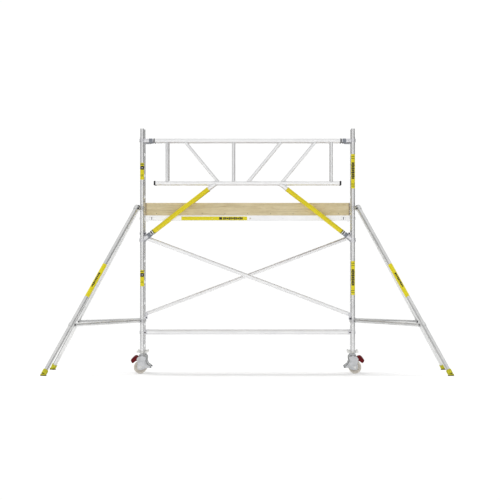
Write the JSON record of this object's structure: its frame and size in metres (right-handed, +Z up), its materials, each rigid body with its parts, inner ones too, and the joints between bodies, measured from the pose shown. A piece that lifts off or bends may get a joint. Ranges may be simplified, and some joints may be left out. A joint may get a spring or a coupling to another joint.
{
  "type": "mobile scaffold tower",
  "caption": "Rolling aluminium scaffold tower with ladder ends, boarded platform, clip-on guardrails, outriggers and braked casters on screw jacks.",
  "frame": {"origin": "on the floor, under the middle of the tower in plan", "axes": "+X along the bay (left to right seen from the front), +Y from the front to the back, +Z up"},
  "size_m": [4.832, 3.082, 2.907],
  "materials": {
    "tube_aluminium": "satin extruded tube",
    "beam_aluminium": "satin extrusion",
    "cast_aluminium": "matte casting",
    "outrigger_aluminium": "satin extruded tube",
    "black_plastic": "moulded",
    "grey_plastic": "moulded",
    "yellow_plastic": "glossy sleeve",
    "blue_button": "moulded",
    "dark_red_button": "moulded",
    "deck_plywood": "film-faced plywood",
    "toe_plywood": "plain plywood",
    "plated_steel": "zinc plated",
    "stem_steel": "zinc plated thread",
    "caster_steel": "zinc plated pressing",
    "wheel_nylon": "cast nylon",
    "red_plastic": "moulded",
    "yellow_rubber": "moulded"
  },
  "bodies": {
    "tower": {"lower_frame_left": "tube_aluminium", "lower_frame_right": "tube_aluminium", "upper_frame_left": "tube_aluminium", "upper_frame_right": "tube_aluminium", "guardrail_front": "tube_aluminium", "guardrail_rear": "tube_aluminium", "guardrail_claws": "cast_aluminium", "guardrail_trim": "black_plastic", "strut_sleeves": "yellow_plastic", "horizontal_braces": "tube_aluminium", "diagonal_braces": "tube_aluminium", "brace_claws": "cast_aluminium", "platform_frame": "beam_aluminium", "platform_deck": "deck_plywood", "toe_boards": "toe_plywood"},
    "jack_front_left": {"jack_front_left": "stem_steel"},
    "jack_nut_front_left": {"jack_nut_front_left": "plated_steel"},
    "caster_front_left": {"caster_fork_front_left": "caster_steel"},
    "wheel_front_left": {"caster_wheel_front_left": "wheel_nylon"},
    "pedal_front_left": {"brake_pedal_front_left": "red_plastic"},
    "outrigger_front_left": {"outrigger_front_left": "outrigger_aluminium", "outrigger_foot_front_left": "yellow_rubber"},
    "trigger_rail_front_left": {"trigger_rail_front_left": "grey_plastic"},
    "trigger_strut_front_left": {"trigger_strut_front_left": "grey_plastic"},
    "jack_front_right": {"jack_front_right": "stem_steel"},
    "jack_nut_front_right": {"jack_nut_front_right": "plated_steel"},
    "caster_front_right": {"caster_fork_front_right": "caster_steel"},
    "wheel_front_right": {"caster_wheel_front_right": "wheel_nylon"},
    "pedal_front_right": {"brake_pedal_front_right": "red_plastic"},
    "outrigger_front_right": {"outrigger_front_right": "outrigger_aluminium", "outrigger_foot_front_right": "yellow_rubber"},
    "trigger_rail_front_right": {"trigger_rail_front_right": "grey_plastic"},
    "trigger_strut_front_right": {"trigger_strut_front_right": "grey_plastic"},
    "jack_rear_left": {"jack_rear_left": "stem_steel"},
    "jack_nut_rear_left": {"jack_nut_rear_left": "plated_steel"},
    "caster_rear_left": {"caster_fork_rear_left": "caster_steel"},
    "wheel_rear_left": {"caster_wheel_rear_left": "wheel_nylon"},
    "pedal_rear_left": {"brake_pedal_rear_left": "red_plastic"},
    "outrigger_rear_left": {"outrigger_rear_left": "outrigger_aluminium", "outrigger_foot_rear_left": "yellow_rubber"},
    "trigger_rail_rear_left": {"trigger_rail_rear_left": "grey_plastic"},
    "trigger_strut_rear_left": {"trigger_strut_rear_left": "grey_plastic"},
    "jack_rear_right": {"jack_rear_right": "stem_steel"},
    "jack_nut_rear_right": {"jack_nut_rear_right": "plated_steel"},
    "caster_rear_right": {"caster_fork_rear_right": "caster_steel"},
    "wheel_rear_right": {"caster_wheel_rear_right": "wheel_nylon"},
    "pedal_rear_right": {"brake_pedal_rear_right": "red_plastic"},
    "outrigger_rear_right": {"outrigger_rear_right": "outrigger_aluminium", "outrigger_foot_rear_right": "yellow_rubber"},
    "trigger_rail_rear_right": {"trigger_rail_rear_right": "grey_plastic"},
    "trigger_strut_rear_right": {"trigger_strut_rear_right": "grey_plastic"},
    "brace_lock_horizontal_front": {"brace_lock_horizontal_front": "dark_red_button"},
    "brace_lock_diagonal_front": {"brace_lock_diagonal_front": "blue_button"},
    "brace_lock_horizontal_rear": {"brace_lock_horizontal_rear": "dark_red_button"},
    "brace_lock_diagonal_rear": {"brace_lock_diagonal_rear": "blue_button"},
    "hatch": {"hatch": "deck_plywood"},
    "wind_lock_left": {"wind_lock_left": "plated_steel"},
    "wind_lock_right": {"wind_lock_right": "plated_steel"}
  },
  "joints": [
    {"name": "hatch_hinge", "type": "hinge", "parent": "tower", "child": "hatch", "pos_m": [-0.76, 0.249, 1.8798], "axis": [-1, 0, 0], "range_deg": [0, 95]},
    {"name": "wind_lock_turn_left", "type": "hinge", "parent": "tower", "child": "wind_lock_left", "pos_m": [-1.198, -0.15, 1.812], "axis": [0, 0, 1], "range_deg": [0, 90]},
    {"name": "wind_lock_turn_right", "type": "hinge", "parent": "tower", "child": "wind_lock_right", "pos_m": [1.198, 0.15, 1.812], "axis": [0, 0, 1], "range_deg": [0, 90]},
    {"name": "brace_lock_press_horizontal_front", "type": "slide", "parent": "tower", "child": "brace_lock_horizontal_front", "axis": [0, 1, 0], "range_m": [0, 0.004], "stiffness_N_per_m": 1000, "springref_m": -0.002},
    {"name": "brace_lock_press_diagonal_front", "type": "slide", "parent": "tower", "child": "brace_lock_diagonal_front", "axis": [0, 1, 0], "range_m": [0, 0.004], "stiffness_N_per_m": 1000, "springref_m": -0.002},
    {"name": "brace_lock_press_horizontal_rear", "type": "slide", "parent": "tower", "child": "brace_lock_horizontal_rear", "axis": [0, -1, 0], "range_m": [0, 0.004], "stiffness_N_per_m": 1000, "springref_m": -0.002},
    {"name": "brace_lock_press_diagonal_rear", "type": "slide", "parent": "tower", "child": "brace_lock_diagonal_rear", "axis": [0, -1, 0], "range_m": [0, 0.004], "stiffness_N_per_m": 1000, "springref_m": -0.002},
    {"name": "outrigger_swing_front_left", "type": "hinge", "parent": "tower", "child": "outrigger_front_left", "pos_m": [-1.25, -0.375, 1], "axis": [0, 0, 1], "range_deg": [-30, 30]},
    {"name": "outrigger_swing_front_right", "type": "hinge", "parent": "tower", "child": "outrigger_front_right", "pos_m": [1.25, -0.375, 1], "axis": [0, 0, 1], "range_deg": [-30, 30]},
    {"name": "outrigger_swing_rear_left", "type": "hinge", "parent": "tower", "child": "outrigger_rear_left", "pos_m": [-1.25, 0.375, 1], "axis": [0, 0, 1], "range_deg": [-30, 30]},
    {"name": "outrigger_swing_rear_right", "type": "hinge", "parent": "tower", "child": "outrigger_rear_right", "pos_m": [1.25, 0.375, 1], "axis": [0, 0, 1], "range_deg": [-30, 30]},
    {"name": "jack_slide_front_left", "type": "slide", "parent": "tower", "child": "jack_front_left", "axis": [0, 0, -1], "range_m": [0, 0.15]},
    {"name": "jack_slide_front_right", "type": "slide", "parent": "tower", "child": "jack_front_right", "axis": [0, 0, -1], "range_m": [0, 0.15]},
    {"name": "jack_slide_rear_left", "type": "slide", "parent": "tower", "child": "jack_rear_left", "axis": [0, 0, -1], "range_m": [0, 0.15]},
    {"name": "jack_slide_rear_right", "type": "slide", "parent": "tower", "child": "jack_rear_right", "axis": [0, 0, -1], "range_m": [0, 0.15]},
    {"name": "jack_nut_turn_front_left", "type": "hinge", "parent": "tower", "child": "jack_nut_front_left", "pos_m": [-1.25, -0.375, 0.25], "axis": [0, 0, 1], "range_deg": [0, 6751]},
    {"name": "jack_nut_turn_front_right", "type": "hinge", "parent": "tower", "child": "jack_nut_front_right", "pos_m": [1.25, -0.375, 0.25], "axis": [0, 0, 1], "range_deg": [0, 6751]},
    {"name": "jack_nut_turn_rear_left", "type": "hinge", "parent": "tower", "child": "jack_nut_rear_left", "pos_m": [-1.25, 0.375, 0.25], "axis": [0, 0, 1], "range_deg": [0, 6751]},
    {"name": "jack_nut_turn_rear_right", "type": "hinge", "parent": "tower", "child": "jack_nut_rear_right", "pos_m": [1.25, 0.375, 0.25], "axis": [0, 0, 1], "range_deg": [0, 6751]},
    {"name": "caster_swivel_front_left", "type": "hinge", "parent": "jack_front_left", "child": "caster_front_left", "pos_m": [-1.25, -0.375, 0.215], "axis": [0, 0, 1], "continuous": true},
    {"name": "caster_swivel_front_right", "type": "hinge", "parent": "jack_front_right", "child": "caster_front_right", "pos_m": [1.25, -0.375, 0.215], "axis": [0, 0, 1], "continuous": true},
    {"name": "caster_swivel_rear_left", "type": "hinge", "parent": "jack_rear_left", "child": "caster_rear_left", "pos_m": [-1.25, 0.375, 0.215], "axis": [0, 0, 1], "continuous": true},
    {"name": "caster_swivel_rear_right", "type": "hinge", "parent": "jack_rear_right", "child": "caster_rear_right", "pos_m": [1.25, 0.375, 0.215], "axis": [0, 0, 1], "continuous": true},
    {"name": "brake_press_front_left", "type": "hinge", "parent": "caster_front_left", "child": "pedal_front_left", "pos_m": [-1.302, -0.375, 0.168], "axis": [0, -1, 0], "range_deg": [0, 10]},
    {"name": "brake_press_front_right", "type": "hinge", "parent": "caster_front_right", "child": "pedal_front_right", "pos_m": [1.302, -0.375, 0.168], "axis": [0, 1, 0], "range_deg": [0, 10]},
    {"name": "brake_press_rear_left", "type": "hinge", "parent": "caster_rear_left", "child": "pedal_rear_left", "pos_m": [-1.302, 0.375, 0.168], "axis": [0, -1, 0], "range_deg": [0, 10]},
    {"name": "brake_press_rear_right", "type": "hinge", "parent": "caster_rear_right", "child": "pedal_rear_right", "pos_m": [1.302, 0.375, 0.168], "axis": [0, 1, 0], "range_deg": [0, 10]},
    {"name": "wheel_roll_front_left", "type": "hinge", "parent": "caster_front_left", "child": "wheel_front_left", "pos_m": [-1.275, -0.375, 0.075], "axis": [0, 1, 0], "continuous": true},
    {"name": "wheel_roll_front_right", "type": "hinge", "parent": "caster_front_right", "child": "wheel_front_right", "pos_m": [1.275, -0.375, 0.075], "axis": [0, 1, 0], "continuous": true},
    {"name": "wheel_roll_rear_left", "type": "hinge", "parent": "caster_rear_left", "child": "wheel_rear_left", "pos_m": [-1.275, 0.375, 0.075], "axis": [0, 1, 0], "continuous": true},
    {"name": "wheel_roll_rear_right", "type": "hinge", "parent": "caster_rear_right", "child": "wheel_rear_right", "pos_m": [1.275, 0.375, 0.075], "axis": [0, 1, 0], "continuous": true},
    {"name": "trigger_pull_rail_front_left", "type": "slide", "parent": "tower", "child": "trigger_rail_front_left", "axis": [1, 0, 0], "range_m": [0, 0.01], "stiffness_N_per_m": 600, "springref_m": -0.006},
    {"name": "trigger_pull_strut_front_left", "type": "slide", "parent": "tower", "child": "trigger_strut_front_left", "axis": [0.7907, 0, 0.6122], "range_m": [0, 0.01], "stiffness_N_per_m": 600, "springref_m": -0.006},
    {"name": "trigger_pull_rail_front_right", "type": "slide", "parent": "tower", "child": "trigger_rail_front_right", "axis": [-1, 0, 0], "range_m": [0, 0.01], "stiffness_N_per_m": 600, "springref_m": -0.006},
    {"name": "trigger_pull_strut_front_right", "type": "slide", "parent": "tower", "child": "trigger_strut_front_right", "axis": [-0.7907, 0, 0.6122], "range_m": [0, 0.01], "stiffness_N_per_m": 600, "springref_m": -0.006},
    {"name": "trigger_pull_rail_rear_left", "type": "slide", "parent": "tower", "child": "trigger_rail_rear_left", "axis": [1, 0, 0], "range_m": [0, 0.01], "stiffness_N_per_m": 600, "springref_m": -0.006},
    {"name": "trigger_pull_strut_rear_left", "type": "slide", "parent": "tower", "child": "trigger_strut_rear_left", "axis": [0.7907, 0, 0.6122], "range_m": [0, 0.01], "stiffness_N_per_m": 600, "springref_m": -0.006},
    {"name": "trigger_pull_rail_rear_right", "type": "slide", "parent": "tower", "child": "trigger_rail_rear_right", "axis": [-1, 0, 0], "range_m": [0, 0.01], "stiffness_N_per_m": 600, "springref_m": -0.006},
    {"name": "trigger_pull_strut_rear_right", "type": "slide", "parent": "tower", "child": "trigger_strut_rear_right", "axis": [-0.7907, 0, 0.6122], "range_m": [0, 0.01], "stiffness_N_per_m": 600, "springref_m": -0.006}
  ],
  "couplings": [
    {"joint": "jack_nut_turn_front_left", "follows": "jack_slide_front_left", "rad_per_m": 785.4},
    {"joint": "jack_nut_turn_front_right", "follows": "jack_slide_front_right", "rad_per_m": 785.4},
    {"joint": "jack_nut_turn_rear_left", "follows": "jack_slide_rear_left", "rad_per_m": 785.4},
    {"joint": "jack_nut_turn_rear_right", "follows": "jack_slide_rear_right", "rad_per_m": 785.4}
  ]
}
